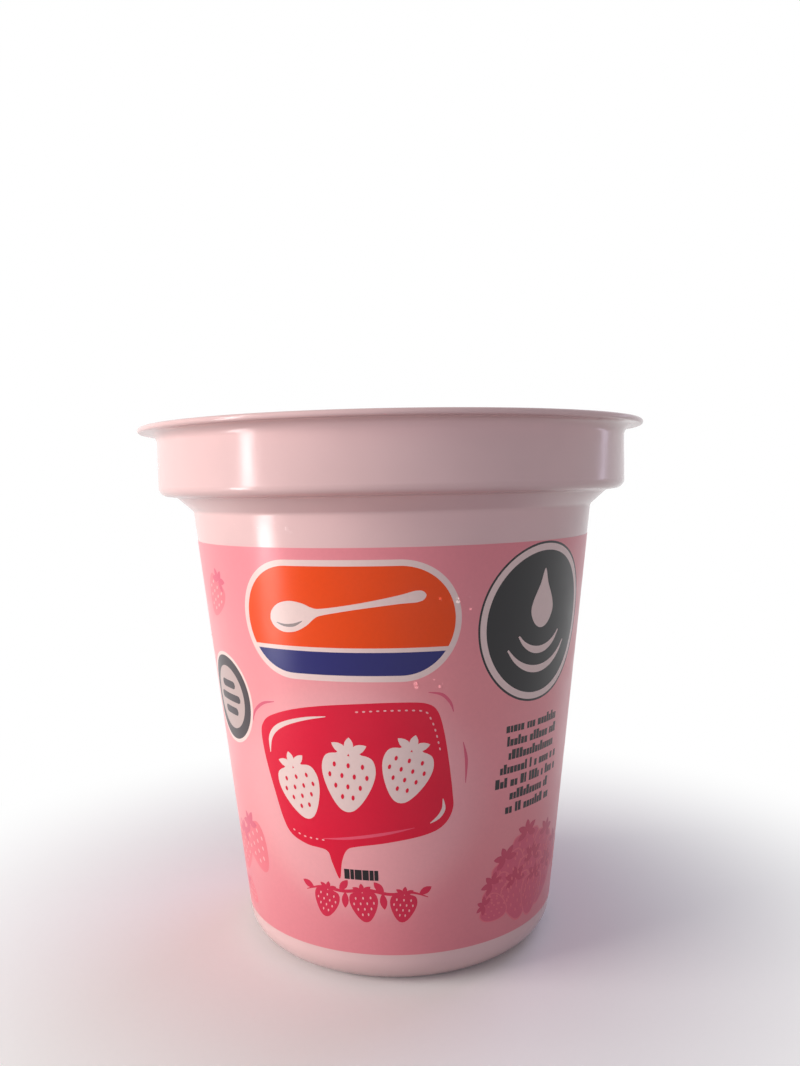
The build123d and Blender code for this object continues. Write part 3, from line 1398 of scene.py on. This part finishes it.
# %% [markdown]
# ## Droplets
#
# A pot fresh from the fridge gathers a few beads of water. Each is a low dome that
# clings to the wall: still water, colourless and mirror smooth, which gives the eye a
# hard glint and a dark rim. Points are thrown round a few places with a fixed seed,
# and a flattened ball stands on each, square to the cone and half in the wall. A
# particle system could throw them as well, but its drops would have to be made real
# by hand.

# %% Clear water
def clear_water():
    """Still water: colourless, mirror smooth, with the IOR of water."""
    material, tree, shader, where = surface("clear_water_beads")
    plug(tree, shader, {
        "Base Color": (1.0, 1.0, 1.0, 1.0),
        "Roughness": uneven(tree, where, 1.0, 0.0, 0.04),
        "IOR": 1.33,
        "Transmission Weight": 1.0,
    })
    return material


water = clear_water()
print("material:", water.name)

# %% The droplets tree
def droplet_tree():
    """Flattened balls thrown round each starting point, square to the cone."""
    tree, sizes = geometry_tree("droplets", {
        **cone_sizes,
        "Drops at a spot": 7,
        "Scatter": 2.4 * MM,
        "Least width": 0.2 * MM,
        "Most width": 0.62 * MM,
        "Flatness": 0.5,
        "Seed": 12,
        "Water": water,
    })
    many = add(tree, "GeometryNodeDuplicateElements", {
        "Geometry": add(tree, "GeometryNodeMeshToPoints", (sizes["Geometry"],)),
        "Amount": sizes["Drops at a spot"],
    }, domain="POINT")
    index = add(tree, "GeometryNodeInputIndex")
    seed = add(tree, "ShaderNodeMath", (sizes["Seed"], 1), operation="ADD")
    width = add(tree, "FunctionNodeRandomValue", (
        sizes["Least width"],
        sizes["Most width"],
        index,
        seed,
    ), data_type="FLOAT")
    aside = add(tree, "FunctionNodeRandomValue", (
        (-1.0, -0.6, 0.0),
        (1.0, 0.6, 0.0),
        index,
        sizes["Seed"],
    ), data_type="FLOAT_VECTOR")
    thrown = add(tree, "ShaderNodeVectorMath", (
        add(tree, "ShaderNodeVectorMath", (aside, sizes["Scatter"]), operation="SCALE"),
        add(tree, "GeometryNodeInputPosition"),
    ), operation="ADD")
    spot = add(tree, "ShaderNodeSeparateXYZ", (thrown,)).outputs
    place, square = on_cone(tree, sizes, spot["X"], spot["Y"], sizes["Base radius"])
    kept = add(tree, "GeometryNodeStoreNamedAttribute", {
        "Geometry": many,
        "Name": "square",
        "Value": square,
    }, data_type="FLOAT_VECTOR", domain="POINT")
    ball = add(tree, "GeometryNodeMeshIcoSphere", {"Radius": 0.5, "Subdivisions": 3})
    low = add(tree, "ShaderNodeMath", (width, sizes["Flatness"]), operation="MULTIPLY")
    beads = add(tree, "GeometryNodeInstanceOnPoints", {
        "Points": add(tree, "GeometryNodeSetPosition", {"Geometry": kept, "Position": place}),
        "Instance": add(tree, "GeometryNodeSetShadeSmooth", (ball,)),
        "Rotation": add(tree, "FunctionNodeAlignRotationToVector", {
            "Vector": add(tree, "GeometryNodeInputNamedAttribute", ("square",),
                          data_type="FLOAT_VECTOR"),
        }, axis="Z"),
        "Scale": add(tree, "ShaderNodeCombineXYZ", (width, width, low)),
    })
    bare = add(tree, "GeometryNodeRemoveAttribute", {"Geometry": beads, "Name": "square"})
    end_tree(tree, bare, sizes["Water"])
    return tree


beading = droplet_tree()
print("nodes in the droplets tree:", len(beading.nodes))

# %% Droplets in place
DROPLET_SPOTS = [(-30.5, 61.6), (9.5, 41.4), (16.0, 51.5), (-41.0, 63.2), (150.0, 40.5), (-84, 45)]
droplet_places = drawn_mesh("droplet_places", at_angles(DROPLET_SPOTS))
droplets = run_tree("droplets", droplet_places, beading, {"Water": water})
print_pieces.append(droplets)
print("droplets: %d faces" % len(droplets.data.polygons))

# %% [markdown]
# ## One body
#
# Every piece rides on the one body. The shell takes the place of the CAD pot, which is
# hidden. The film and the marks are the print on it.

# %% Riding
for piece in (shell, *print_pieces):
    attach(piece, "root")
print("pieces:", 1 + len(print_pieces))

# %% [markdown]
# ## The floor and the background
#
# The floor is a plain pale sheet. It takes the pot's soft shadow near its foot. Further
# out, and in the world behind it, camera rays and reflections find plain white, while
# the light that falls on the pot stays at its own level. More light on the floor would
# whiten it too, but it would wash out the pot.

# %% The floor's paint
SHADOW_REACH = 0.024  # m, how far out the floor stays a lit surface
WHITE_REACH = 0.10  # m, from where it is plain white
BOARD_SEEN = "#fbfafa"
BOARD_LIGHT = "#a39d9c"  # what it sends up at the pot, so that undersides keep their shade
BOARD_CLOUD = 30.0  # mm, how broad the faint clouds in its paint are


def seen_directly(tree):
    """1 for rays that come from the camera, or through gloss or glass."""
    path = add(tree, "ShaderNodeLightPath").outputs
    glossy = add(tree, "ShaderNodeMath", (path["Is Camera Ray"], path["Is Glossy Ray"]),
                 operation="MAXIMUM")
    return add(tree, "ShaderNodeMath", (glossy, path["Is Transmission Ray"]), operation="MAXIMUM")


def floor_material():
    """Matt pale paint, faintly uneven, that goes over to white far from the pot."""
    material, tree, shader, where = surface("matt_painted_board")
    seen = seen_directly(tree)
    board = add(tree, "ShaderNodeMix", (seen, linear(BOARD_LIGHT), linear(BOARD_SEEN)),
                data_type="RGBA")
    plug(tree, shader, {
        "Base Color": add(tree, "ShaderNodeVectorMath", (
            board,
            uneven(tree, where, BOARD_CLOUD, 0.99, 1.0),
        ), operation="SCALE"),
        "Roughness": 0.8,
    })
    away = add(tree, "ShaderNodeVectorMath", (where,), operation="LENGTH")
    fade = add(tree, "ShaderNodeMapRange", (away, SHADOW_REACH, WHITE_REACH),
               interpolation_type="SMOOTHSTEP")
    plug(tree, tree.nodes["Material Output"], {
        "Surface": add(tree, "ShaderNodeMixShader", (
            add(tree, "ShaderNodeMath", (fade, seen), operation="MULTIPLY"),
            shader,
            add(tree, "ShaderNodeEmission", ((1.0, 1.0, 1.0, 1.0), 1.0)),
        )),
    })
    # It only looks bright, so Cycles need not aim light rays at it.
    material.cycles.emission_sampling = "NONE"
    return material


board = floor_material()
print("material:", board.name)

# %% The floor
FLOOR_SIZE = 3.0  # m
CORNERS = ((-0.5, -0.5), (0.5, -0.5), (0.5, 0.5), (-0.5, 0.5))  # shares of a sheet's size


def sheet(name, corners, material):
    """A sheet of one face that belongs to the stage, not to the pot."""
    mesh = bpy.data.meshes.new(name)
    mesh.from_pydata(corners, [], [(0, 1, 2, 3)])
    mesh.materials.append(material)
    made = put_in_scene(name, mesh)
    return made


sheet("floor", [(x * FLOOR_SIZE, y * FLOOR_SIZE, 0) for x, y in CORNERS], board)
print("floor: %.0f m square" % FLOOR_SIZE)

# %% World
WORLD_LIGHT = 0.25


def white_world():
    """Even light at a plain level, and plain white wherever the world is seen."""
    world = bpy.data.worlds.new("white_room")
    bpy.context.scene.world = world
    world.use_nodes = True
    tree = world.node_tree
    plug(tree, tree.nodes["Background"], {
        "Color": (1.0, 1.0, 1.0, 1.0),
        "Strength": add(tree, "ShaderNodeMapRange", {
            "Value": seen_directly(tree),
            "To Min": WORLD_LIGHT,
            "To Max": 1.0,
        }),
    })


white_world()
print("world light:", WORLD_LIGHT)

# %% [markdown]
# ## Lamps
#
# The light comes mostly from the left, as from a window, and so the wall turns darker
# to the right. A bright world all round would be simpler, but it would leave the pot
# flat, and so three broad lamps give the light. They are kept out of reflections,
# because their mirror images would wash out the print.

# %% Key and fills
POT_MIDDLE = Vector((0, 0, 0.04))


def around(angle, distance, level):
    """A place at an angle round the pot (0 in front, growing to the right), in metres."""
    lean = math.radians(angle)
    return Vector((distance * math.sin(lean), -distance * math.cos(lean), level))


def turn_to(place, aim):
    """The turn that makes a lamp or a strip at a place look at a point."""
    return (aim - place).to_track_quat("-Z", "Y")


def broad_lamp(name, place, wide, high, watts, colour):
    """A rectangular lamp that faces the pot's middle and shows in no reflection."""
    light = bpy.data.lights.new(name, "AREA")
    light.shape = "RECTANGLE"
    light.size = wide
    light.size_y = high
    light.energy = watts
    light.color = linear(colour)[:3]
    lamp = put_in_scene(name, light)
    lamp.location = place
    lamp.rotation_euler = turn_to(place, POT_MIDDLE).to_euler()
    lamp.visible_glossy = False


broad_lamp("key_left", around(-74, 0.55, 0.17), 0.30, 0.30, watts=3.0, colour="#fff6f1")
broad_lamp("fill_front", around(8, 0.60, 0.12), 0.40, 0.30, watts=0.6, colour="#f1e9ff")
broad_lamp("fill_back", around(140, 0.60, 0.33), 0.40, 0.30, watts=1.3, colour="#dad3ff")

# %% [markdown]
# ## Strips for the highlights
#
# Two narrow upright strips at the left draw the highlights that tell the eye how
# glossy and how round the pot is, one down the collar and one down the wall below it.
# A faint one at the right picks out the collar's far end. They could be lamps, but
# Cycles would then aim most of its light rays at things so near, and leave the rest
# grainy. A glowing sheet that only reflections can see gives the same picture without
# the grain.

# %% Glowing strips
def glowing_strip(name, place, aim, wide, high, glow, colour="#ffffff", lean=0):
    """A glowing sheet that faces a point, leans in degrees and shows in reflections alone."""
    material = bpy.data.materials.new("glow_" + name)
    material.use_nodes = True
    tree = material.node_tree
    tree.nodes.remove(tree.nodes["Principled BSDF"])
    plug(tree, tree.nodes["Material Output"], {
        "Surface": add(tree, "ShaderNodeEmission", (linear(colour), glow)),
    })
    material.cycles.emission_sampling = "NONE"
    turn = turn_to(place, aim) @ Quaternion((0, 0, 1), math.radians(lean))
    strip = sheet(name, [place + turn @ Vector((x * wide, y * high, 0)) for x, y in CORNERS],
                  material)
    strip.visible_camera = False
    strip.visible_diffuse = False
    strip.visible_transmission = False
    strip.visible_shadow = False


# A mirror image runs where the wall's angle is half way between the strip and the eye.
glowing_strip("strip_collar", around(-60.2, 0.140, 0.100), Vector((0, -0.02, 0.100)),
              wide=0.0115, high=0.11, glow=15.5)
glowing_strip("strip_neck", around(-67.8, 0.140, 0.021), Vector((0, -0.02, 0.021)),
              wide=0.023, high=0.038, glow=14.5)
glowing_strip("strip_right", around(110, 0.167, 0.078), Vector((0, 0, 0.078)),
              wide=0.010, high=0.06, glow=3.6, colour="#efeaff", lean=-35)

# %% [markdown]
# ## The camera
#
# It stands level with the rim, close to the pot, and looks a little down. From so near,
# the foot curves visibly and the underside of the flange shows. A long lens from
# further off is common for such goods, but it would hide both.

# %% Camera
LENS = 31.04  # mm
FRAME = 36.0  # mm, the long side of the frame
CAMERA_PLACE = (0, -0.141855, 0.067186)  # m
LOOK_ASIDE = -0.447  # degrees, to the left where it is positive
LOOK_DOWN = 3.121  # degrees
ROLL = -1.146  # degrees

camera = put_in_scene("camera", bpy.data.cameras.new("camera"))
camera.data.lens = LENS
camera.data.sensor_width = FRAME
camera.data.clip_start = 0.01
turn = Matrix.Rotation(math.radians(LOOK_ASIDE), 4, "Z")
down = Matrix.Rotation(math.radians(90 - LOOK_DOWN), 4, "X")
roll = Matrix.Rotation(math.radians(ROLL), 4, "Z")
camera.matrix_world = Matrix.Translation(CAMERA_PLACE) @ turn @ down @ roll
bpy.context.scene.camera = camera
bpy.context.scene.view_settings.view_transform = "Standard"
print("camera at", [round(v, 4) for v in camera.location])
